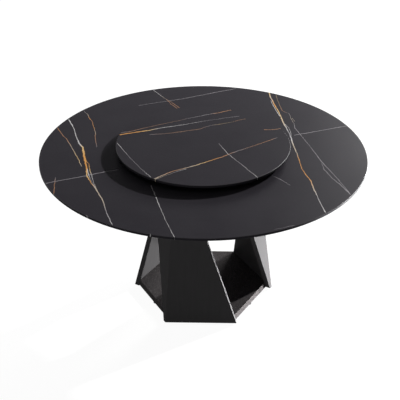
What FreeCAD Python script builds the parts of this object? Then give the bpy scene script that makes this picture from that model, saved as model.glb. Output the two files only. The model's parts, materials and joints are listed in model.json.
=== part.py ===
"""Round dining table with a lazy susan, in millimetres.

The origin is on the floor under the middle of the table top, +Z is up. A round stone top lies on a
hexagonal steel plate. Three equal box legs of folded sheet steel stand on the faces of a hexagonal
frustum round a base board: each has a main panel that narrows upwards and a flange that narrows
downwards, joined at one fold. A second, smaller stone turns on a slim ball bearing on the table top.
"""
import FreeCAD, Part
import math
import os

# ---- Table top -------------------------------------------------------------------------------
table_height = 775.0          # floor to the upper face of the table top
table_diameter = 1500.0
stone_thickness = 12.0
stone_arris_width = 1.2       # bevel of the upper rim
stone_lower_arris_width = 0.8

# ---- Lazy susan ------------------------------------------------------------------------------
susan_diameter = 800.0
susan_thickness = 12.0
susan_rise = 38.0             # upper face of the susan over the table top

ball_diameter = 6.35
ball_count = 12
ball_circle_radius = 156.5
ball_groove_clearance = 0.08  # play of a ball to each flank of its groove
ball_pocket_clearance = 0.12
ring_gap = 3.0                # radial gap between the two bearing rings
ring_width = 18.0
ring_height = 15.0
ring_edge_chamfer = 1.5
cage_wall = 1.2
cage_height = 7.4

susan_pad_diameter = 14.0
susan_pad_thickness = 2.0
susan_pad_count = 6

# ---- Base frustum ----------------------------------------------------------------------------
base_low_radius = 347.0       # corner radius at the legs' lower end
base_high_radius = 246.5      # corner radius at the stone's lower face
leg_floor_gap = 8.0
leg_thickness = 25.0          # measured level, outer face to inner face
leg_sheet = 2.0
fold_radius = 4.0             # outside radius of the fold
weld_gap = 0.1                # play of a plate inside the sheet that it is welded to
main_low_cutback = 8.5        # free edge of the main panel, from the frustum's next corner
main_high_width = 37.0
flange_low_width = 17.5
flange_high_cutback = 28.8    # free edge of the flange, from the frustum's next corner
leg_azimuths = (-120.0, 0.0, 120.0)
rib_heights = (190.0, 380.0, 570.0)
rib_thickness = 2.0

# ---- Steel plates that close the legs --------------------------------------------------------
top_plate_thickness = 5.0
top_plate_inset = 1.5         # corner radius smaller than that of the legs' upper ends
top_plate_hole_diameter = 120.0
leg_top_plate_thickness = 6.0
leg_top_ear_depth = 55.0
leg_top_ear_start = 45.0      # along the flange, from the fold
leg_top_ear_length = 140.0
leg_top_bolt_inset = 30.0     # bolt line from the leg's inner face
leg_top_bolt_count = 2
ear_bend_reach = 1.0          # the ear's root lies this far inside the leg's inner face
leg_bottom_plate_thickness = 4.0
bottom_ear_length = 50.0
bottom_ear_depth = 45.0
bottom_ear_offset = 95.0      # ear's middle from the middle of the main panel's face
bottom_screw_inset = 22.0     # screw from the leg's inner face

# ---- Base board ------------------------------------------------------------------------------
board_floor_gap = 7.0
board_thickness = 30.0
board_side_clearance = 0.2
ear_recess_clearance = 0.5
ear_recess_headroom = 0.3

# ---- Levelling feet --------------------------------------------------------------------------
foot_edge_inset = 9.5         # foot's axis from the leg's inner face, at the legs' lower end
foot_azimuths = (-150.0, -90.0, -30.0, 30.0, 90.0, 150.0)
foot_pad_diameter = 20.0
foot_pad_height = 5.0
foot_pad_chamfer = 1.0
foot_stud_diameter = 6.0
foot_stud_length = 24.0       # above the pad
foot_socket_depth = 2.0       # stud's seat in the pad
foot_bore_clearance = 0.05    # radial
foot_stud_end_room = 3.0      # bore beyond the stud's end
foot_insert_diameter = 10.0

# ---- Screws and bolts ------------------------------------------------------------------------
m8_diameter = 8.0
m8_hole_diameter = 9.0
m8_head_width = 13.0          # hexagon head, across the flats
m8_head_height = 5.3
m8_flat_head_diameter = 16.0  # countersunk head
m8_socket_width = 5.0         # across the flats
m8_socket_depth = 2.6
screw_bore_clearance = 0.05   # radial, threads modelled as plain cylinders
leg_bolt_end_gap = 0.6        # end of a leg bolt under the top plate's upper face
board_screw_length = 20.0
board_screw_end_room = 2.0    # bore beyond the screw's end
board_insert_diameter = 12.0
board_insert_length = 13.0
insert_seat_clearance = 0.05

# ---- Stone fastening -------------------------------------------------------------------------
stone_pad_diameter = 40.0
stone_pad_thickness = 1.0
stone_pad_circle_radius = 205.0
stone_insert_diameter = 12.0
stone_insert_length = 8.0
stone_bore_headroom = 0.3
stone_screw_circle_radius = 165.0
stone_screw_azimuths = (-90.0, 30.0, 150.0)
stone_screw_end_gap = 1.5     # end of the screw under the insert's upper end

# ---- Levels and radii that follow ------------------------------------------------------------
stone_underside = table_height - stone_thickness
top_plate_top = stone_underside - stone_pad_thickness
top_plate_underside = top_plate_top - top_plate_thickness
leg_top_plate_underside = top_plate_underside - leg_top_plate_thickness
leg_inner_start = leg_floor_gap + leg_bottom_plate_thickness
board_top = board_floor_gap + board_thickness
susan_underside = table_height + susan_rise - susan_thickness
fixed_ring_bottom = table_height + susan_pad_thickness
turning_ring_bottom = susan_underside - susan_pad_thickness - ring_height
groove_height = (fixed_ring_bottom + ring_height + turning_ring_bottom) / 2.0
fixed_ring_wall = ball_circle_radius + ring_gap / 2.0
turning_ring_wall = ball_circle_radius - ring_gap / 2.0
groove_depth = math.sqrt(2.0) * (ball_diameter / 2.0 + ball_groove_clearance) - ring_gap / 2.0
hex_apothem = math.cos(math.radians(30.0))
foot_circle_radius = base_low_radius * hex_apothem - leg_thickness - foot_edge_inset

UP = FreeCAD.Vector(0, 0, 1)
AXIS_START = FreeCAD.Vector(0, 0, 0)


# ---- General shapes --------------------------------------------------------------------------
def polar(radius, azimuth, height=0.0):
    """Point at a radius and an azimuth in degrees round the table's axis."""
    turn = math.radians(azimuth)
    return FreeCAD.Vector(radius * math.cos(turn), radius * math.sin(turn), height)


def around(shape, azimuth):
    """Copy of a shape, turned round the table's axis."""
    return shape.rotated(AXIS_START, UP, azimuth)


def disc(diameter, low, high, centre=AXIS_START):
    """Upright cylinder between two heights."""
    foot = FreeCAD.Vector(centre.x, centre.y, low)
    return Part.makeCylinder(diameter / 2.0, high - low, foot, UP)


def cone(low_diameter, high_diameter, low, high, centre):
    """Upright cone between two heights."""
    foot = FreeCAD.Vector(centre.x, centre.y, low)
    return Part.makeCone(low_diameter / 2.0, high_diameter / 2.0, high - low, foot, UP)


def revolved(profile):
    """Solid of revolution round the table's axis, from anticlockwise (radius, height) points."""
    face = flat_face([FreeCAD.Vector(radius, 0, height) for radius, height in profile])
    return face.revolve(AXIS_START, UP, 360)


def flat_face(points):
    """Flat face inside a polygon."""
    return Part.Face(Part.makePolygon(points + [points[0]]))


def prism_between(low_points, high_points):
    """Solid with flat faces between two polygons with parallel sides, both anticlockwise."""
    faces = [flat_face(low_points[::-1]), flat_face(high_points)]
    for i in range(len(low_points)):
        j = (i + 1) % len(low_points)
        faces.append(flat_face([low_points[i], low_points[j], high_points[j], high_points[i]]))
    return Part.Solid(Part.Shell(faces))


def group(shapes):
    """Several separate solids that share one node."""
    return Part.makeCompound(shapes)


def export(name, shape):
    """Writes one sub-part as parts/NAME.step."""
    shape.exportStep("parts/%s.step" % name)


# ---- Frustum and leg geometry ----------------------------------------------------------------
def corner_radius(height):
    """Corner radius of the frustum's outer faces at a height."""
    share = (height - leg_floor_gap) / (stone_underside - leg_floor_gap)
    return base_low_radius + share * (base_high_radius - base_low_radius)


def main_width(height):
    """Width of the main panel's outer face at a height, from the fold."""
    low_width = base_low_radius - main_low_cutback
    share = (height - leg_floor_gap) / (stone_underside - leg_floor_gap)
    return low_width + share * (main_high_width - low_width)


def flange_width(height):
    """Width of the flange's outer face at a height, from the fold."""
    high_width = base_high_radius - flange_high_cutback
    share = (height - leg_floor_gap) / (stone_underside - leg_floor_gap)
    return flange_low_width + share * (high_width - flange_low_width)


def panel_point(height, side, along, depth):
    """Point on a leg whose fold is at azimuth 0.

    side is 1 on the main panel and -1 on the flange, along runs level from the fold on the outer
    face and depth runs level inwards from that face.
    """
    slope = math.radians(30.0)
    along_axis = FreeCAD.Vector(-math.sin(slope), side * math.cos(slope), 0)
    inward = FreeCAD.Vector(-math.cos(slope), -side * math.sin(slope), 0)
    fold = FreeCAD.Vector(corner_radius(height), 0, height)
    return fold + along_axis * along + inward * depth


def fold_point(height, depth):
    """Point of the fold's corner line at a level depth under both outer faces."""
    return FreeCAD.Vector(corner_radius(height) - depth / hex_apothem, 0, height)


def leg_section(height, outer_depth, inner_depth, trim):
    """Polygon of a folded layer between two depths, its free ends cut back by trim."""
    main_end = main_width(height) - trim
    flange_end = flange_width(height) - trim
    return [
        fold_point(height, outer_depth),
        panel_point(height, 1, main_end, outer_depth),
        panel_point(height, 1, main_end, inner_depth),
        fold_point(height, inner_depth),
        panel_point(height, -1, flange_end, inner_depth),
        panel_point(height, -1, flange_end, outer_depth),
    ]


def leg_layer(low, high, outer_depth, inner_depth, trim, radius=0.0):
    """Folded layer of a leg between two heights, its fold rounded where radius is given."""
    solid = prism_between(leg_section(low, outer_depth, inner_depth, trim),
                          leg_section(high, outer_depth, inner_depth, trim))
    if radius > 0:
        fold_middle = (fold_point(low, outer_depth) + fold_point(high, outer_depth)) * 0.5
        fold = min(solid.Edges, key=lambda edge: edge.CenterOfMass.distanceToPoint(fold_middle))
        solid = solid.makeFillet(radius, [fold])
    return solid


def panel_box(height, thickness, side, start, length, depth_start, depth_end):
    """Level plate beside a panel, in the directions along the panel and inwards."""
    corners = [(start, depth_start), (start + length, depth_start),
               (start + length, depth_end), (start, depth_end)]
    face = flat_face([panel_point(height, side, along, depth) for along, depth in corners])
    return face.extrude(UP * thickness)


def leg_outer_skin():
    """Folded sheet with both free edges returned to the leg's full thickness."""
    over = 1.0
    body = leg_layer(leg_floor_gap, top_plate_underside, 0.0, leg_thickness, 0.0, fold_radius)
    hollow = leg_layer(leg_floor_gap - over, top_plate_underside + over, leg_sheet,
                       leg_thickness + over, leg_sheet, fold_radius - leg_sheet)
    return body.cut(hollow)


def leg_inner_skin():
    """Folded sheet that closes the leg towards the table's axis, between the returned edges."""
    return leg_layer(leg_inner_start, leg_top_plate_underside, leg_thickness - leg_sheet,
                     leg_thickness, leg_sheet + weld_gap)


def leg_ribs():
    """Level stiffening plates inside the leg."""
    return group([leg_layer(height, height + rib_thickness, leg_sheet + weld_gap,
                            leg_thickness - leg_sheet - weld_gap, leg_sheet + weld_gap,
                            fold_radius - leg_sheet)
                  for height in rib_heights])


def leg_top_bolt_points():
    """Bolt axes of the leg whose fold is at azimuth 0, at the top plate's underside."""
    step = leg_top_ear_length / leg_top_bolt_count
    return [panel_point(top_plate_underside, -1, leg_top_ear_start + step * (i + 0.5),
                        leg_thickness + leg_top_bolt_inset)
            for i in range(leg_top_bolt_count)]


def bottom_ear_starts():
    """Start of each lower ear, measured along the main panel from the fold."""
    middle = base_low_radius / 2.0
    return [middle + way * bottom_ear_offset - bottom_ear_length / 2.0 for way in (-1, 1)]


def bottom_screw_points():
    """Screw axes in the lower ears of the leg whose fold is at azimuth 0."""
    return [panel_point(leg_floor_gap, 1, start + bottom_ear_length / 2.0,
                        leg_thickness + bottom_screw_inset)
            for start in bottom_ear_starts()]


def leg_top_plate():
    """Plate that closes the leg's upper end, with an ear for the bolts to the top plate."""
    plate = leg_layer(leg_top_plate_underside, top_plate_underside, leg_sheet + weld_gap,
                      leg_thickness, leg_sheet + weld_gap, fold_radius - leg_sheet)
    ear = panel_box(leg_top_plate_underside, leg_top_plate_thickness, -1, leg_top_ear_start,
                    leg_top_ear_length, leg_thickness - ear_bend_reach,
                    leg_thickness + leg_top_ear_depth)
    plate = plate.fuse(ear).removeSplitter()
    for point in leg_top_bolt_points():
        plate = plate.cut(disc(m8_hole_diameter, leg_top_plate_underside, top_plate_underside, point))
    return plate


def leg_bottom_plate():
    """Plate that closes the leg's lower end, with two ears let into the base board."""
    plate = leg_layer(leg_floor_gap, leg_inner_start, leg_sheet + weld_gap, leg_thickness,
                      leg_sheet + weld_gap, fold_radius - leg_sheet)
    for start in bottom_ear_starts():
        ear = panel_box(leg_floor_gap, leg_bottom_plate_thickness, 1, start, bottom_ear_length,
                        leg_thickness - ear_bend_reach, leg_thickness + bottom_ear_depth)
        plate = plate.fuse(ear)
    plate = plate.removeSplitter()
    for point in bottom_screw_points():
        plate = plate.cut(countersink(point, leg_floor_gap, screw_bore_clearance))
        plate = plate.cut(disc(m8_hole_diameter, leg_floor_gap, leg_inner_start, point))
    return plate


# ---- Screws ----------------------------------------------------------------------------------
def hex_prism(width, low, high, centre):
    """Upright hexagonal prism, width across its flats."""
    points = [polar(width / 2.0 / hex_apothem, 60.0 * i) + FreeCAD.Vector(centre.x, centre.y, low)
              for i in range(6)]
    return flat_face(points).extrude(UP * (high - low))


def hex_bolt(point, head_top, end):
    """M8 bolt that points up: a hexagon head under head_top, its shank up to end."""
    head = hex_prism(m8_head_width, head_top - m8_head_height, head_top, point)
    return head.fuse(disc(m8_diameter, head_top, end, point))


def countersink(point, low, clearance):
    """Cone of a flat-headed M8 screw that points up, its wide end at low."""
    wide = m8_flat_head_diameter + 2 * clearance
    narrow = m8_diameter + 2 * clearance
    return cone(wide, narrow, low, low + (wide - narrow) / 2.0, point)


def board_screw(point):
    """Flat-headed M8 screw that points up, its head flush with the ear's underside."""
    head = countersink(point, leg_floor_gap, 0.0)
    socket = hex_prism(m8_socket_width, leg_floor_gap, leg_floor_gap + m8_socket_depth, point)
    neck = leg_floor_gap + (m8_flat_head_diameter - m8_diameter) / 2.0
    shank = disc(m8_diameter, neck, leg_floor_gap + board_screw_length, point)
    return head.cut(socket).fuse(shank)


def sleeve(point, diameter, bore_diameter, low, high):
    """Threaded insert, modelled as a plain sleeve."""
    return disc(diameter, low, high, point).cut(disc(bore_diameter, low, high, point))


# ---- Stone parts -----------------------------------------------------------------------------
def stone_disc(diameter, low, thickness):
    """Round slab whose rims are bevelled."""
    radius = diameter / 2.0
    high = low + thickness
    return revolved([
        (0.0, low), (radius - stone_lower_arris_width, low),
        (radius, low + stone_lower_arris_width), (radius, high - stone_arris_width),
        (radius - stone_arris_width, high), (0.0, high)])


def stone_screw_points():
    """Axes of the screws that hold the stone to the top plate."""
    return [polar(stone_screw_circle_radius, azimuth) for azimuth in stone_screw_azimuths]


def table_top():
    """Stone top with blind bores for its inserts."""
    slab = stone_disc(table_diameter, stone_underside, stone_thickness)
    for point in stone_screw_points():
        slab = slab.cut(disc(stone_insert_diameter + 2 * insert_seat_clearance, stone_underside,
                             stone_underside + stone_insert_length + stone_bore_headroom, point))
    return slab


def stone_inserts():
    """Threaded inserts in the stone's blind bores."""
    bore = m8_diameter + 2 * screw_bore_clearance
    return group([sleeve(point, stone_insert_diameter, bore, stone_underside,
                         stone_underside + stone_insert_length)
                  for point in stone_screw_points()])


def stone_screws():
    """Screws from the top plate up into the stone's inserts."""
    end = stone_underside + stone_insert_length - stone_screw_end_gap
    return group([hex_bolt(point, top_plate_underside, end) for point in stone_screw_points()])


def stone_pads():
    """Thin silicone pads between the top plate and the stone."""
    return group([disc(stone_pad_diameter, top_plate_top, stone_underside,
                       polar(stone_pad_circle_radius, 60.0 * i))
                  for i in range(6)])


def top_plate():
    """Hexagonal steel plate over the legs, tapped for their bolts."""
    radius = corner_radius(top_plate_underside) - top_plate_inset
    points = [polar(radius, 60.0 * i, top_plate_underside) for i in range(6)]
    plate = flat_face(points).extrude(UP * top_plate_thickness)
    plate = plate.cut(disc(top_plate_hole_diameter, top_plate_underside, top_plate_top))
    tapped = m8_diameter + 2 * screw_bore_clearance
    for azimuth in leg_azimuths:
        for point in leg_top_bolt_points():
            plate = plate.cut(around(disc(tapped, top_plate_underside, top_plate_top, point), azimuth))
    for point in stone_screw_points():
        plate = plate.cut(disc(m8_hole_diameter, top_plate_underside, top_plate_top, point))
    return plate


def leg_top_bolts():
    """Bolts through the legs' upper ears into the top plate."""
    bolts = [hex_bolt(point, leg_top_plate_underside, top_plate_top - leg_bolt_end_gap)
             for point in leg_top_bolt_points()]
    return group([around(bolt, azimuth) for azimuth in leg_azimuths for bolt in bolts])


# ---- Base board and feet ---------------------------------------------------------------------
def board_corners(height):
    """Corners of the base board at a height, just clear of the legs' inner faces."""
    radius = corner_radius(height) - (leg_thickness + board_side_clearance) / hex_apothem
    return [polar(radius, 60.0 * i, height) for i in range(6)]


def foot_points():
    """Axes of the levelling feet."""
    return [polar(foot_circle_radius, azimuth) for azimuth in foot_azimuths]


def base_board():
    """Hexagonal board between the legs, recessed below for their ears and bored for the screws."""
    board = prism_between(board_corners(board_floor_gap), board_corners(board_top))
    ear_top = leg_inner_start + ear_recess_headroom
    cuts = []
    for start in bottom_ear_starts():
        cuts.append(panel_box(board_floor_gap, ear_top - board_floor_gap, 1,
                              start - ear_recess_clearance,
                              bottom_ear_length + 2 * ear_recess_clearance,
                              leg_thickness - ear_bend_reach,
                              leg_thickness + bottom_ear_depth + ear_recess_clearance))
    insert_bore = board_insert_diameter + 2 * insert_seat_clearance
    for point in bottom_screw_points():
        cuts.append(disc(insert_bore, board_floor_gap,
                         leg_floor_gap + board_screw_length + board_screw_end_room, point))
    cuts = [around(cut, azimuth) for azimuth in leg_azimuths for cut in cuts]
    insert_bore = foot_insert_diameter + 2 * insert_seat_clearance
    stud_end = foot_pad_height + foot_stud_length
    for point in foot_points():
        cuts.append(disc(insert_bore, board_floor_gap, stud_end + foot_stud_end_room, point))
    return board.cut(cuts)


def board_inserts():
    """Threaded inserts in the base board for the legs' screws."""
    low = leg_inner_start + ear_recess_headroom
    bore = m8_diameter + 2 * screw_bore_clearance
    inserts = [sleeve(point, board_insert_diameter, bore, low, low + board_insert_length)
               for point in bottom_screw_points()]
    return group([around(insert, azimuth) for azimuth in leg_azimuths for insert in inserts])


def board_screws():
    """Screws up through the legs' lower ears into the base board."""
    screws = [board_screw(point) for point in bottom_screw_points()]
    return group([around(screw, azimuth) for azimuth in leg_azimuths for screw in screws])


def foot_nuts():
    """Threaded inserts that the levelling feet screw into."""
    bore = foot_stud_diameter + 2 * foot_bore_clearance
    return group([sleeve(point, foot_insert_diameter, bore, board_floor_gap,
                         board_floor_gap + board_insert_length)
                  for point in foot_points()])


def foot_pad(point):
    """Round pad with a bevelled shoulder and a seat for its stud."""
    shoulder = foot_pad_height - foot_pad_chamfer
    pad = disc(foot_pad_diameter, 0.0, shoulder, point)
    pad = pad.fuse(cone(foot_pad_diameter, foot_pad_diameter - 2 * foot_pad_chamfer, shoulder,
                        foot_pad_height, point))
    return pad.cut(disc(foot_stud_diameter, foot_pad_height - foot_socket_depth, foot_pad_height,
                        point))


def foot_stud(point):
    """Threaded stud moulded into the pad."""
    return disc(foot_stud_diameter, foot_pad_height - foot_socket_depth,
                foot_pad_height + foot_stud_length, point)


# ---- Lazy susan ------------------------------------------------------------------------------
def pad_points(radius):
    """Middles of the anti-slip pads on a ring."""
    return [polar(radius, 360.0 * (i + 0.5) / susan_pad_count) for i in range(susan_pad_count)]


def bearing_ring(ball_wall, way, pad_end, free_end):
    """Bearing ring with a V groove in the wall that faces the balls.

    way is 1 where the ring lies outside the balls and -1 where it lies inside them. pad_end is the
    level of its end that lies on pads and free_end that of the other, whose far edge is bevelled.
    """
    far_wall = ball_wall + way * ring_width
    up = 1 if free_end > pad_end else -1
    return revolved([
        (ball_wall, pad_end), (far_wall, pad_end),
        (far_wall, free_end - up * ring_edge_chamfer), (far_wall - way * ring_edge_chamfer, free_end),
        (ball_wall, free_end), (ball_wall, groove_height + up * groove_depth),
        (ball_wall + way * groove_depth, groove_height),
        (ball_wall, groove_height - up * groove_depth)])


def bearing_outer_ring():
    """Ring that stands still on the table top."""
    return bearing_ring(fixed_ring_wall, 1, fixed_ring_bottom, fixed_ring_bottom + ring_height)


def bearing_inner_ring():
    """Ring that turns with the susan."""
    return bearing_ring(turning_ring_wall, -1, turning_ring_bottom + ring_height, turning_ring_bottom)


def susan_pads(radius, low):
    """Anti-slip pads of one ring."""
    return group([disc(susan_pad_diameter, low, low + susan_pad_thickness, point)
                  for point in pad_points(radius)])


def ball_points():
    """Middles of the bearing's balls."""
    return [polar(ball_circle_radius, 360.0 * i / ball_count, groove_height)
            for i in range(ball_count)]


def bearing_balls():
    """Steel balls of the bearing."""
    return group([Part.makeSphere(ball_diameter / 2.0, point) for point in ball_points()])


def ball_cage():
    """Thin ring with a round pocket for each ball."""
    low = groove_height - cage_height / 2.0
    cage = disc(2 * ball_circle_radius + cage_wall, low, low + cage_height)
    cage = cage.cut(disc(2 * ball_circle_radius - cage_wall, low, low + cage_height))
    pocket_radius = ball_diameter / 2.0 + ball_pocket_clearance
    pockets = []
    for point in ball_points():
        outward = FreeCAD.Vector(point.x, point.y, 0)
        start = point - outward * (ring_gap / outward.Length)
        pockets.append(Part.makeCylinder(pocket_radius, 2 * ring_gap, start, outward))
    return cage.cut(pockets)


# ---- Build -----------------------------------------------------------------------------------
def build():
    """Makes every sub-part and writes its STEP file."""
    os.makedirs("parts", exist_ok=True)

    export("table_top", table_top())
    export("stone_inserts", stone_inserts())
    export("stone_screws", stone_screws())
    export("stone_pads", stone_pads())
    export("top_plate", top_plate())
    export("leg_top_bolts", leg_top_bolts())

    leg_pieces = {
        "outer_skin": leg_outer_skin(),
        "inner_skin": leg_inner_skin(),
        "ribs": leg_ribs(),
        "top_plate": leg_top_plate(),
        "bottom_plate": leg_bottom_plate(),
    }
    for number, azimuth in enumerate(leg_azimuths, 1):
        for piece, shape in leg_pieces.items():
            export("leg_%d_%s" % (number, piece), around(shape, azimuth))

    export("base_board", base_board())
    export("board_inserts", board_inserts())
    export("board_screws", board_screws())
    export("foot_nuts", foot_nuts())
    for number, point in enumerate(foot_points(), 1):
        export("foot_%d_pad" % number, foot_pad(point))
        export("foot_%d_stud" % number, foot_stud(point))

    export("susan_top", stone_disc(susan_diameter, susan_underside, susan_thickness))
    export("bearing_outer_ring", bearing_outer_ring())
    export("bearing_inner_ring", bearing_inner_ring())
    export("bearing_balls", bearing_balls())
    export("ball_cage", ball_cage())
    export("susan_lower_pads", susan_pads(fixed_ring_wall + ring_width / 2.0, table_height))
    export("susan_upper_pads", susan_pads(turning_ring_wall - ring_width / 2.0,
                                          susan_underside - susan_pad_thickness))


build()
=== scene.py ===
"""Looks of the dining table with lazy susan: the camera, the studio and a procedural material
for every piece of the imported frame. Lengths are in metres unless a name or a comment says mm."""
import json
import math

import bpy
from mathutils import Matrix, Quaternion, Vector

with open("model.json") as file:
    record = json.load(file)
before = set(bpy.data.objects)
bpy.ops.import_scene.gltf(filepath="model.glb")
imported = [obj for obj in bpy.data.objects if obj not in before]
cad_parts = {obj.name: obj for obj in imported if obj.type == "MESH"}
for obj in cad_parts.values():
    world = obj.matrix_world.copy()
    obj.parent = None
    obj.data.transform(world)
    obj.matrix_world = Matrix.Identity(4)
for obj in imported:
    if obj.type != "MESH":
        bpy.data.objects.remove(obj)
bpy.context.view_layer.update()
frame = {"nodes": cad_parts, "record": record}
nodes = frame["nodes"]
scene = bpy.context.scene
MM = 0.001
WHITE = (1, 1, 1, 1)
BLACK = (0, 0, 0, 1)


def put(name, data):
    """Puts a new object with this data into the scene."""
    made = bpy.data.objects.new(name, data)
    scene.collection.objects.link(made)
    return made


# ---- Camera: place and direction of the photograph's camera, in the part's frame ----

# It looks along +Y, turned towards +X, then down, then rolled about its line of sight.
CAMERA_PLACE = (0.0526, -3.6945, 2.6748)
CAMERA_TURN = math.radians(-1.038)
CAMERA_DOWN = math.radians(30.375)
CAMERA_ROLL = math.radians(0.067)
LENS_MM = 80.92
SENSOR_MM = 36


def make_camera():
    data = bpy.data.cameras.new("camera")
    data.lens = LENS_MM
    data.sensor_width = SENSOR_MM
    camera = put("camera", data)
    level = math.cos(CAMERA_DOWN)
    look = Vector((math.sin(CAMERA_TURN) * level, math.cos(CAMERA_TURN) * level, -math.sin(CAMERA_DOWN)))
    camera.rotation_mode = "QUATERNION"
    camera.rotation_quaternion = look.to_track_quat("-Z", "Y") @ Quaternion((0, 0, 1), CAMERA_ROLL)
    camera.location = CAMERA_PLACE
    scene.camera = camera


# ---- Helpers for node trees ----

# Nearly all values of a noise lie in this range.
NOISE_RANGE = (0.3, 0.7)


def add(tree, kind, inputs=None, **settings):
    """Adds a shader node. An input given a socket is linked to it, any other value is set."""
    made = tree.nodes.new("ShaderNode" + kind)
    for name, value in settings.items():
        setattr(made, name, value)
    for name, value in (inputs or {}).items():
        if isinstance(value, bpy.types.NodeSocket):
            tree.links.new(value, made.inputs[name])
        else:
            made.inputs[name].default_value = value
    return made


def math_node(tree, operation, first, second=0.0, clamp=False):
    return add(tree, "Math", {0: first, 1: second}, operation=operation, use_clamp=clamp).outputs[0]


def ramped(tree, value, low, high, out_low=0.0, out_high=1.0, kind="LINEAR"):
    """The value between low and high, mapped to between out_low and out_high."""
    inputs = {"Value": value, "From Min": low, "From Max": high, "To Min": out_low, "To Max": out_high}
    return add(tree, "MapRange", inputs, interpolation_type=kind).outputs[0]


def spread(tree, pattern, low=0.0, high=1.0):
    """A noise spread over the range from low to high."""
    return ramped(tree, pattern, *NOISE_RANGE, low, high)


def mixed(tree, share, first, second):
    """Mixes two colours. In a Mix node the sockets for colours are 6, 7 and 2."""
    return add(tree, "Mix", {0: share, 6: first, 7: second}, data_type="RGBA").outputs[2]


def noise(tree, place, scale, detail=2.0, roughness=0.5):
    """Noise with so many waves to the metre: one number, or one each for x, y and z."""
    if isinstance(scale, tuple):
        place = add(tree, "Mapping", {"Vector": place, "Scale": scale}, vector_type="POINT").outputs[0]
        scale = 1.0
    inputs = {"Vector": place, "Scale": scale, "Detail": detail, "Roughness": roughness}
    return add(tree, "TexNoise", inputs).outputs["Fac"]


def shader_inputs(tree):
    return tree.nodes["Principled BSDF"].inputs


def new_material(name, **fixed):
    """Gives a material, its node tree and the part's coordinates; fixed are plain values of its shader."""
    material = bpy.data.materials.new(name)
    material.use_nodes = True
    tree = material.node_tree
    for socket, value in fixed.items():
        shader_inputs(tree)[socket.replace("_", " ")].default_value = value
    return material, tree, add(tree, "TexCoord").outputs["Object"]


def link_shader(tree, colour, roughness, height=None, depth=0.0):
    """Links colour and roughness to the material's shader, and with a height also a bump of this depth."""
    inputs = shader_inputs(tree)
    tree.links.new(colour, inputs["Base Color"])
    tree.links.new(roughness, inputs["Roughness"])
    if height is not None:
        bump = add(tree, "Bump", {"Height": height, "Distance": depth})
        tree.links.new(bump.outputs[0], inputs["Normal"])


# ---- Stone: dark sintered stone with veins ----

def linear(red, green, blue):
    """Linear colour of an 8-bit screen colour."""
    levels = [level / 255 for level in (red, green, blue)]
    return [level / 12.92 if level <= 0.04045 else ((level + 0.055) / 1.055) ** 2.4 for level in levels]


VEIN_COLOURS = {
    "white": linear(204, 202, 202),
    "beige": linear(198, 184, 165),
    "yellow": linear(224, 190, 134),
    "orange": linear(218, 158, 90),
    "rust": linear(184, 138, 104),
    "brown": linear(150, 119, 98),
    "olive": linear(130, 115, 94),
    "grey": linear(156, 152, 156),
    "faint": linear(110, 106, 110),
}

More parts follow.
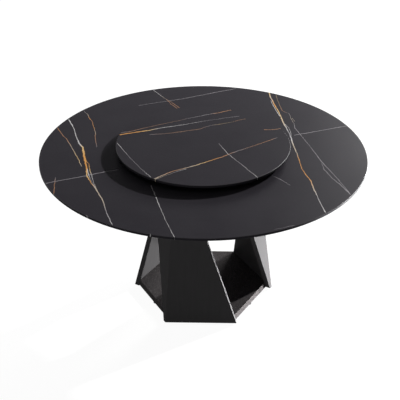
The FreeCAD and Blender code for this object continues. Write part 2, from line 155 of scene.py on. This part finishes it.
# A vein is its width in mm and its points: x and y in mm, the colour there and the share of the width.
TABLE_VEINS = [
    # Across the back.
    (2.8, [(-340, 490, "grey", 0.5), (-255, 525, "grey", 0.6), (-115, 580, "grey", 0.9),
           (-25, 625, "grey", 0.9), (165, 720, "grey", 1.1)]),
    (1.9, [(-275, 690, "white", 1.0), (-240, 635, "white", 0.9), (-210, 585, "beige", 0.6),
           (-165, 525, "rust", 1.1), (-125, 465, "rust", 1.25)]),
    (2.2, [(-195, 560, "rust", 0.6), (-170, 510, "rust", 0.9), (-135, 455, "brown", 1.25)]),
    # The bundle on the left.
    (7.5, [(-670, 325, "white", 0.75), (-630, 225, "white", 0.38), (-605, 130, "white", 0.38),
           (-580, 55, "white", 0.8), (-560, 20, "yellow", 0.9), (-540, -75, "orange", 1.2),
           (-515, -185, "orange", 0.9), (-505, -255, "yellow", 0.7), (-480, -315, "orange", 0.35),
           (-450, -375, "beige", 0.55), (-410, -470, "beige", 0.5), (-385, -565, "grey", 0.4),
           (-350, -665, "white", 0.3)]),
    (3.2, [(-530, -110, "orange", 0.9), (-510, -145, "orange", 0.6), (-500, -200, "yellow", 0.7),
           (-485, -250, "white", 0.8), (-470, -310, "grey", 0.7), (-450, -370, "beige", 1.0)]),
    (2.6, [(-512, -190, "white", 1.0), (-500, -240, "white", 1.25), (-485, -290, "grey", 0.6),
           (-455, -365, "white", 0.7)]),
    (2.8, [(-710, 225, "rust", 0.9), (-670, 140, "rust", 0.85), (-645, 100, "rust", 0.8),
           (-610, 15, "beige", 0.8), (-565, -95, "yellow", 0.9), (-540, -170, "beige", 0.8)]),
    (2.4, [(-605, 415, "grey", 0.9), (-580, 375, "beige", 0.7), (-570, 340, "orange", 1.0),
           (-550, 300, "rust", 0.7), (-535, 235, "orange", 0.75), (-520, 180, "beige", 0.8),
           (-515, 130, "rust", 0.95), (-495, 20, "faint", 1.1)]),
    # Across the left and the right.
    (3.7, [(-675, -325, "grey", 0.9), (-595, -290, "grey", 0.8), (-510, -255, "grey", 0.9),
           (-430, -215, "grey", 1.1), (-370, -195, "grey", 1.0)]),
    (3.2, [(430, 165, "grey", 1.1), (540, 210, "grey", 0.95), (610, 240, "grey", 0.7),
           (700, 275, "grey", 0.9)]),
    # Short one on the left, long one at the front.
    (2.2, [(-640, -270, "grey", 0.6), (-635, -335, "rust", 1.0), (-625, -415, "rust", 0.9)]),
    (2.6, [(-220, -330, "grey", 1.2), (-190, -440, "white", 1.25), (-165, -535, "white", 0.6),
           (-140, -620, "white", 0.55), (-115, -700, "white", 0.5), (-100, -745, "white", 0.8)]),
    # The bundle on the right.
    (4.3, [(335, 675, "yellow", 1.2), (340, 615, "beige", 1.0), (355, 520, "orange", 1.2),
           (370, 445, "yellow", 0.9), (390, 290, "beige", 1.25), (400, 240, "white", 0.75),
           (410, 175, "grey", 0.9), (415, 130, "white", 1.0), (420, 60, "beige", 1.25),
           (430, -20, "beige", 0.75), (435, -80, "orange", 0.55), (440, -165, "orange", 0.5),
           (455, -225, "orange", 0.7), (470, -270, "orange", 0.8), (480, -365, "beige", 1.2),
           (490, -435, "white", 0.4), (500, -500, "white", 0.6), (510, -550, "white", 0.9)]),
    (2.4, [(340, 570, "grey", 1.0), (345, 525, "white", 1.0), (355, 470, "white", 1.05),
           (375, 375, "white", 1.0)]),
    (2.2, [(393, 290, "white", 1.0), (410, 250, "grey", 0.85), (417, 200, "white", 0.75),
           (415, 135, "white", 0.9)]),
    (2.1, [(370, 645, "olive", 1.1), (375, 570, "olive", 1.25), (390, 445, "rust", 0.8),
           (410, 420, "faint", 1.1), (425, 410, "grey", 0.7), (430, 340, "beige", 0.5),
           (440, 290, "grey", 0.6), (440, 245, "grey", 1.2), (460, 180, "grey", 0.85),
           (510, 0, "grey", 0.7), (535, -100, "grey", 1.25), (595, -275, "grey", 0.7),
           (630, -400, "grey", 0.95)]),
    (2.4, [(533, -110, "faint", 1.0), (540, -175, "grey", 1.1), (565, -250, "grey", 0.7),
           (595, -310, "grey", 1.0), (630, -400, "grey", 1.2)]),
    (1.0, [(435, 360, "beige", 0.8), (445, 315, "beige", 1.0)]),
    # Short ones at the front.
    (2.1, [(305, -235, "grey", 0.3), (340, -270, "grey", 1.0), (380, -320, "grey", 0.6)]),
    (1.8, [(290, -680, "faint", 0.7), (375, -645, "grey", 0.8)]),
    # Four marks on the rim at the front left.
    (3.0, [(-213, -724, "white", 1.0), (-209, -741, "white", 1.0)]),
    (3.0, [(-197, -722, "white", 1.0), (-194, -742, "white", 1.0)]),
    (2.6, [(-456, -599, "grey", 1.0), (-466, -585, "grey", 1.0)]),
    (2.6, [(-507, -570, "grey", 1.0), (-517, -554, "grey", 1.0)]),
]
SUSAN_VEINS = [
    # Three along the back.
    (3.4, [(-395, 95, "grey", 0.6), (-350, 110, "brown", 1.25), (-275, 155, "brown", 0.8),
           (-125, 235, "brown", 0.5), (-70, 265, "grey", 0.4), (30, 315, "grey", 0.8),
           (70, 330, "rust", 1.1), (135, 365, "rust", 0.9)]),
    (5.5, [(-395, 75, "orange", 1.2), (-320, 105, "orange", 0.95), (-260, 125, "yellow", 1.0),
           (-210, 150, "white", 0.6), (-90, 195, "white", 0.4), (30, 245, "grey", 0.25),
           (175, 295, "grey", 0.35)]),
    (4.0, [(-255, 80, "faint", 1.1), (-150, 100, "brown", 0.75), (-20, 145, "brown", 0.8),
           (30, 185, "faint", 0.7), (75, 200, "olive", 1.1), (135, 225, "olive", 0.5),
           (165, 245, "rust", 0.3), (205, 265, "brown", 0.55)]),
    # Short one at the right.
    (4.2, [(285, 145, "rust", 0.8), (325, 145, "rust", 0.7), (365, 160, "brown", 1.1)]),
    # The long one at the front, a thin strand beside it, and the one that crosses them.
    (4.2, [(-205, -345, "beige", 1.0), (-130, -275, "rust", 0.85), (-55, -235, "beige", 1.0),
           (5, -195, "yellow", 0.95), (45, -165, "orange", 0.9), (90, -135, "rust", 1.15),
           (115, -110, "rust", 0.8), (160, -75, "grey", 0.55), (230, -25, "rust", 0.45),
           (310, 35, "rust", 0.55), (345, 65, "faint", 1.1)]),
    (2.5, [(-205, -352, "beige", 1.2), (-160, -315, "beige", 0.4), (-120, -285, "grey", 0.7),
           (-70, -252, "white", 0.8)]),
    (2.3, [(70, 0, "faint", 1.2), (115, -110, "white", 0.8), (165, -195, "grey", 0.7),
           (205, -265, "white", 0.6), (240, -325, "white", 0.8)]),
    # Across the left edge.
    (1.8, [(-395, -8, "white", 1.1), (-330, -140, "grey", 0.75), (-273, -245, "grey", 0.6),
           (-217, -332, "white", 0.85)]),
]

# No share in the tables is over this. The alpha of a vein's colours, which ends at 1, holds the share
# divided by it.
MOST_SHARE = 1.25

# From its middle line a vein is solid up to a quarter of its width, and is gone at three quarters.
VEIN_CORE = 0.25
VEIN_EDGE = 0.75
# Over this part of its length a vein fades in and out at its ends, by its share going to nothing.
VEIN_FADE = 0.012
# Below this part of the greatest share a vein gets paler as well as narrower.
PALE_SHARE = 0.25
# The veins wander from their lines by a noise of this size, and their width varies by a factor in this range.
VEIN_WANDER = 9 * MM
VEIN_BREAK = (0.7, 1.25)


def vein_group():
    """Node group: how much of a vein covers a place. Across and Centre are in lengths of the vein, and
    Length, Width and Wander in metres."""
    tree = bpy.data.node_groups.new("vein line", "ShaderNodeTree")
    for name in ("Across", "Centre", "Length", "Width", "Share", "Wander", "Break"):
        tree.interface.new_socket(name, in_out="INPUT", socket_type="NodeSocketFloat")
    tree.interface.new_socket("Cover", in_out="OUTPUT", socket_type="NodeSocketFloat")
    given = tree.nodes.new("NodeGroupInput").outputs
    away = math_node(tree, "SUBTRACT", given["Across"], given["Centre"])
    away = math_node(tree, "MULTIPLY", away, given["Length"])
    away = math_node(tree, "ABSOLUTE", math_node(tree, "ADD", away, given["Wander"]))
    width = math_node(tree, "MULTIPLY", given["Width"], given["Share"])
    width = math_node(tree, "MULTIPLY", width, given["Break"])
    core = math_node(tree, "MULTIPLY", width, VEIN_CORE)
    edge = math_node(tree, "MULTIPLY", width, VEIN_EDGE)
    cover = ramped(tree, away, core, edge, 1.0, 0.0, "SMOOTHSTEP")
    present = math_node(tree, "MULTIPLY", given["Share"], 1 / PALE_SHARE, clamp=True)
    result = tree.nodes.new("NodeGroupOutput")
    tree.links.new(math_node(tree, "MULTIPLY", cover, present), result.inputs["Cover"])
    return tree


def draw_vein(points, curve, ramp):
    """Draws the vein's line into the curve, and its colours into the ramp with the shares as their alpha."""
    start = Vector(points[0][:2])
    chord = Vector(points[-1][:2]) - start
    along = chord.normalized()
    curve.use_clip = False
    knots = curve.curves[0].points
    knots[-1].location = (1, 0)
    for number, (x, y, colour, share) in enumerate(points):
        step = Vector((x, y)) - start
        part = step.dot(along) / chord.length
        if 0 < number < len(points) - 1:
            knots.new(part, along.cross(step) / chord.length)
        inner = VEIN_FADE + part * (1 - 2 * VEIN_FADE)
        ramp.elements.new(inner).color = (*VEIN_COLOURS[colour], share / MOST_SHARE)
    for knot in knots:
        knot.handle_type = "VECTOR"
    curve.update()
    for end in (0, -1):
        ramp.elements[end].color = (*VEIN_COLOURS[points[end][2]], 0)


def add_vein(tree, group, place, base, vein, wander, broken):
    """Lays one vein over the base colour and gives the new colour."""
    width, points = vein
    # The vein has its own coordinates, in which its first point is at x = 0 and its last at x = 1.
    start = Vector(points[0][:2]) * MM
    chord = Vector(points[-1][:2]) * MM - start
    settings = {"Vector": place, "Location": (*start, 0), "Rotation": (0, 0, math.atan2(chord.y, chord.x)),
                "Scale": (chord.length, chord.length, 1)}
    turned = add(tree, "Mapping", settings, vector_type="TEXTURE")
    parts = add(tree, "SeparateXYZ", {0: turned.outputs[0]})
    centre = add(tree, "FloatCurve", {"Value": parts.outputs["X"]})
    colours = add(tree, "ValToRGB", {0: parts.outputs["X"]})
    draw_vein(points, centre.mapping, colours.color_ramp)
    inputs = {"Across": parts.outputs["Y"], "Centre": centre.outputs[0], "Length": chord.length,
              "Width": width * MM * MOST_SHARE, "Share": colours.outputs["Alpha"],
              "Wander": wander, "Break": broken}
    line = add(tree, "Group", inputs, node_tree=group)
    return mixed(tree, line.outputs[0], base, colours.outputs["Color"])


STONE_DARK = (0.0262, 0.0240, 0.0290, 1)
STONE_LIGHT = (0.0306, 0.0284, 0.0336, 1)
STONE_FLECK = (0.085, 0.08, 0.085, 1)
FLECK_COVER = 0.5
# Specular levels of the honed face and of the narrow arris round it.
HONED_SHINE = 0.016
ARRIS_SHINE = 0.3
# The upward part of the normal of the arris faces lies between these.
ARRIS_SLOPES = (0.5, 0.9)


def stone(name, veins, group):
    """Honed dark stone with soft clouds, fine flecks and its veins."""
    material, tree, place = new_material("stone_" + name, Specular_IOR_Level=HONED_SHINE)
    clouds = noise(tree, place, 5.0, detail=5.0, roughness=0.6)
    grain = noise(tree, place, 420.0, roughness=0.7)
    base = mixed(tree, ramped(tree, clouds, 0.35, 0.65), STONE_DARK, STONE_LIGHT)
    base = mixed(tree, ramped(tree, grain, 0.62, 0.78, out_high=FLECK_COVER), base, STONE_FLECK)
    wander = math_node(tree, "SUBTRACT", noise(tree, place, 55.0, detail=3.0, roughness=0.6), 0.5)
    wander = math_node(tree, "MULTIPLY", wander, VEIN_WANDER)
    broken = spread(tree, noise(tree, place, 32.0, detail=3.0, roughness=0.7), *VEIN_BREAK)
    for vein in veins:
        base = add_vein(tree, group, place, base, vein, wander, broken)
    link_shader(tree, base, spread(tree, clouds, 0.44, 0.52), height=grain, depth=0.06 * MM)
    return material


def polish_arris(name, honed):
    """The narrow sloping faces round the top of a stone are ground smoother, so they shine more."""
    polished = honed.copy()
    polished.name = honed.name + "_arris"
    shader_inputs(polished.node_tree)["Specular IOR Level"].default_value = ARRIS_SHINE
    mesh = nodes[name].data
    mesh.materials.append(polished)
    low, high = ARRIS_SLOPES
    for face in mesh.polygons:
        if low < face.normal.z < high:
            face.material_index = len(mesh.materials) - 1


# ---- Coated steel, board and hardware ----

def coated_steel():
    """Black powder coat with a fine pebble and faint upright streaks from the sheet under it."""
    dark, light = (0.0785, 0.0765, 0.0780, 1), (0.0850, 0.0828, 0.0844, 1)
    material, tree, place = new_material("coated_steel", Specular_IOR_Level=0.005)
    streaks = noise(tree, place, (60.0, 60.0, 1.5), detail=4.0, roughness=0.6)
    pebble = noise(tree, place, 650.0, roughness=0.6)
    colour = mixed(tree, spread(tree, streaks), dark, light)
    link_shader(tree, colour, spread(tree, streaks, 0.38, 0.48), height=pebble, depth=0.12 * MM)
    return material


# How far the specks cover the board's colour, and how far painted shade darkens its faces that point up or
# down.
BOARD_SPECK_COVER = 0.8
BOARD_FACE_PAINTED_SHADE = 0.25


def board():
    """Black-stained board, open-grained and speckled; painted shade makes its upper and lower faces darker
    than its edges.
    """
    dark, light, speck = (0.044, 0.040, 0.041, 1), (0.076, 0.070, 0.071, 1), (0.165, 0.155, 0.155, 1)
    material, tree, place = new_material("board", Specular_IOR_Level=0.01)
    upward = add(tree, "SeparateXYZ", {0: add(tree, "TexCoord").outputs["Normal"]}).outputs["Z"]
    # Painted shade: the faces that point up or down are mixed towards black by this share.
    face = ramped(tree, math_node(tree, "ABSOLUTE", upward), 0.5, 0.9, out_high=BOARD_FACE_PAINTED_SHADE)
    fibres = noise(tree, place, (160.0, 18.0, 160.0), detail=4.0, roughness=0.7)
    speckle = noise(tree, place, 170.0, detail=4.0, roughness=0.75)
    colour = mixed(tree, spread(tree, fibres), dark, light)
    colour = mixed(tree, ramped(tree, speckle, 0.52, 0.68, out_high=BOARD_SPECK_COVER), colour, speck)
    colour = mixed(tree, face, colour, BLACK)
    link_shader(tree, colour, spread(tree, speckle, 0.5, 0.68), height=speckle, depth=0.4 * MM)
    return material


def brass_insert():
    """Machined brass, brighter where the tool has run, with a dull tarnish between."""
    bright, dull = (0.62, 0.45, 0.20, 1), (0.46, 0.31, 0.13, 1)
    material, tree, place = new_material("brass_insert", Metallic=1.0)
    passes = noise(tree, place, (40.0, 40.0, 1800.0))
    tarnish = noise(tree, place, 160.0, detail=3.0)
    colour = mixed(tree, spread(tree, tarnish), bright, dull)
    link_shader(tree, colour, spread(tree, passes, 0.22, 0.4), height=passes, depth=0.05 * MM)
    return material


def zinc_steel():
    """Zinc-plated steel with the plating's uneven bluish bloom."""
    blue, plain = (0.60, 0.61, 0.63, 1), (0.50, 0.50, 0.49, 1)
    material, tree, place = new_material("zinc_steel", Metallic=1.0)
    bloom = noise(tree, place, 120.0, detail=4.0, roughness=0.65)
    grain = noise(tree, place, 1500.0)
    colour = mixed(tree, spread(tree, bloom), blue, plain)
    link_shader(tree, colour, spread(tree, bloom, 0.28, 0.42), height=grain, depth=0.03 * MM)
    return material


def black_screw():
    """Blackened steel screws, oiled, a little browner where the finish is thin."""
    black, brown = (0.045, 0.045, 0.048, 1), (0.085, 0.072, 0.062, 1)
    material, tree, place = new_material("black_screw", Metallic=1.0)
    thin = noise(tree, place, 260.0, detail=3.0, roughness=0.6)
    colour = mixed(tree, ramped(tree, thin, 0.45, 0.75), black, brown)
    link_shader(tree, colour, spread(tree, thin, 0.3, 0.45), height=thin, depth=0.04 * MM)
    return material


def silicone():
    """Milky clear silicone pads with a little dust on them."""
    clean, dusty = (0.50, 0.50, 0.49, 1), (0.62, 0.61, 0.58, 1)
    material, tree, place = new_material("silicone", Transmission_Weight=0.35, IOR=1.41)
    dust = noise(tree, place, 300.0, detail=3.0, roughness=0.6)
    colour = mixed(tree, ramped(tree, dust, 0.4, 0.75), clean, dusty)
    link_shader(tree, colour, spread(tree, dust, 0.35, 0.55), height=dust, depth=0.05 * MM)
    return material


def ring_aluminium():
    """Rolled aluminium rings: fine lines run round them, so they lie in thin layers of height."""
    bright, dull = (0.76, 0.76, 0.77, 1), (0.66, 0.66, 0.67, 1)
    material, tree, place = new_material("ring_aluminium", Metallic=1.0)
    lines = noise(tree, place, (9.0, 9.0, 2400.0))
    haze = noise(tree, place, 45.0, detail=3.0, roughness=0.6)
    colour = mixed(tree, spread(tree, haze), bright, dull)
    link_shader(tree, colour, spread(tree, lines, 0.24, 0.38), height=lines, depth=0.04 * MM)
    return material


def ball_steel():
    """Polished bearing balls with a trace of grease."""
    clean, greasy = (0.70, 0.70, 0.71, 1), (0.58, 0.55, 0.50, 1)
    material, tree, place = new_material("ball_steel", Metallic=1.0)
    grease = noise(tree, place, 220.0)
    colour = mixed(tree, ramped(tree, grease, 0.4, 0.7), clean, greasy)
    link_shader(tree, colour, ramped(tree, grease, 0.35, 0.7, 0.07, 0.22))
    return material


def cage_plastic():
    """Ivory moulded plastic of the ball cage."""
    pale, deep = (0.80, 0.77, 0.70, 1), (0.72, 0.69, 0.61, 1)
    material, tree, place = new_material("cage_plastic", Specular_IOR_Level=0.45)
    flow = noise(tree, place, (25.0, 25.0, 300.0), detail=3.0)
    grain = noise(tree, place, 900.0)
    colour = mixed(tree, spread(tree, flow), pale, deep)
    link_shader(tree, colour, spread(tree, flow, 0.42, 0.55), height=grain, depth=0.04 * MM)
    return material


def foot_plastic():
    """Black moulded plastic of the feet, scuffed grey over the lowest 3 mm."""
    black, grey = (0.020, 0.020, 0.021, 1), (0.075, 0.072, 0.068, 1)
    material, tree, place = new_material("foot_plastic", Specular_IOR_Level=0.4)
    height = add(tree, "SeparateXYZ", {0: place}).outputs["Z"]
    scuff = noise(tree, place, 420.0, detail=3.0, roughness=0.7)
    low = ramped(tree, height, 0.0, 3 * MM, 1.0, 0.0)
    worn = math_node(tree, "MULTIPLY", low, ramped(tree, scuff, 0.4, 0.7))
    colour = mixed(tree, worn, black, grey)
    link_shader(tree, colour, spread(tree, scuff, 0.45, 0.62), height=scuff, depth=0.06 * MM)
    return material


def dress(name, material):
    for slot in nodes[name].material_slots:
        slot.material = material


def dress_all():
    """Gives every node the material of its slot in the record. Each finish is named like its slot, and
    the two stones have veins of their own."""
    finishes = (coated_steel, board, brass_insert, zinc_steel, black_screw, silicone, ring_aluminium,
                ball_steel, cage_plastic, foot_plastic)
    made = {finish.__name__: finish() for finish in finishes}
    for part in frame["record"]["subparts"]:
        if part["material_slot"] in made:
            dress(part["node"], made[part["material_slot"]])
    group = vein_group()
    for name, veins in (("table_top", TABLE_VEINS), ("susan_top", SUSAN_VEINS)):
        honed = stone(name, veins, group)
        dress(name, honed)
        polish_arris(name, honed)


# ---- Studio ----

# The floor is a square of twice this size, a little under the feet.
FLOOR_HALF = 30.0
FLOOR_GAP = 0.5 * MM
# As other surfaces see the floor and the world.
FLOOR_COLOUR = (0.18, 0.18, 0.18, 1)
FILL_COLOUR = (0.97, 0.98, 1.0, 1)
FILL_LEVEL = 0.02
# As the camera sees the floor: its own light, and the share of the lamps' light that it adds.
FLOOR_GLOW = 0.95
FLOOR_CATCH = (0.12, 0.12, 0.12, 1)


def end_tree(tree, kind, lighting, seen):
    """Ends a tree with one shader for the rays that light surfaces and another for the camera, glossy and
    transmission rays, which see it."""
    path = add(tree, "LightPath").outputs
    share = math_node(tree, "MAXIMUM", path["Is Camera Ray"], path["Is Glossy Ray"])
    share = math_node(tree, "MAXIMUM", share, path["Is Transmission Ray"])
    both = add(tree, "MixShader", {0: share, 1: lighting.outputs[0], 2: seen.outputs[0]})
    add(tree, kind, {"Surface": both.outputs[0]})


def make_world():
    """White all round to the camera, and a faint fill to the surfaces."""
    world = bpy.data.worlds.new("studio")
    scene.world = world
    world.use_nodes = True
    tree = world.node_tree
    tree.nodes.clear()
    white = add(tree, "Background", {"Color": WHITE, "Strength": 1.0})
    fill = add(tree, "Background", {"Color": FILL_COLOUR, "Strength": FILL_LEVEL})
    end_tree(tree, "OutputWorld", fill, white)


def make_floor():
    """A grey floor that looks white to the camera, apart from the object's faint shadow."""
    mesh = bpy.data.meshes.new("studio_floor")
    corners = [(x * FLOOR_HALF, y * FLOOR_HALF, -FLOOR_GAP) for x, y in ((-1, -1), (1, -1), (1, 1), (-1, 1))]
    mesh.from_pydata(corners, [], [(0, 1, 2, 3)])
    floor = put("studio_floor", mesh)
    material = bpy.data.materials.new("studio_floor")
    material.use_nodes = True
    tree = material.node_tree
    tree.nodes.clear()
    glow = add(tree, "Emission", {"Color": WHITE, "Strength": FLOOR_GLOW})
    catch = add(tree, "BsdfDiffuse", {"Color": FLOOR_CATCH})
    seen = add(tree, "AddShader", {0: glow.outputs[0], 1: catch.outputs[0]})
    plain = add(tree, "BsdfDiffuse", {"Color": FLOOR_COLOUR})
    end_tree(tree, "OutputMaterial", plain, seen)
    mesh.materials.append(material)


# Each lamp: azimuth from +X towards +Y and elevation in degrees, its distance from the point it is aimed at,
# its width and height, the point, and its level: 1 makes a white surface there that faces it plain white.
LAMPS = {
    "key": (39.3, 25.2, 25.0, 0.6, 0.6, (0, 0, 0.45), 1.4),
    "back_right": (66.0, 18.0, 4.0, 1.2, 0.8, (0.4, -0.1, 0.78), 0.98),
    "low_right": (6.0, 0.0, 2.3, 0.5, 0.03, (0, 0, 0.02), 3.5),
    "low_back": (38.0, 0.0, 2.3, 0.4, 0.03, (0, 0, 0.02), 2.9),
    "low_left": (-118.0, 9.0, 4.0, 1.5, 1.0, (0, 0, 0.3), 0.135),
    "front": (-95.0, 64.0, 4.0, 1.2, 1.2, (0, 0, 0.775), 0.05),
}


def make_lamp(name, azimuth, elevation, distance, width, height, aim, level):
    data = bpy.data.lights.new(name, "AREA")
    data.shape = "RECTANGLE"
    data.size = width
    data.size_y = height
    data.energy = level * (math.pi * distance) ** 2
    lamp = put(name, data)
    turn, rise = math.radians(azimuth), math.radians(elevation)
    away = Vector((math.cos(turn) * math.cos(rise), math.sin(turn) * math.cos(rise), math.sin(rise)))
    lamp.location = Vector(aim) + away * distance
    lamp.rotation_mode = "QUATERNION"
    lamp.rotation_quaternion = away.to_track_quat("Z", "Y")
    lamp.visible_camera = False


def make_studio():
    scene.view_settings.view_transform = "Standard"
    make_world()
    make_floor()
    for name, values in LAMPS.items():
        make_lamp(name, *values)


make_camera()
dress_all()
make_studio()
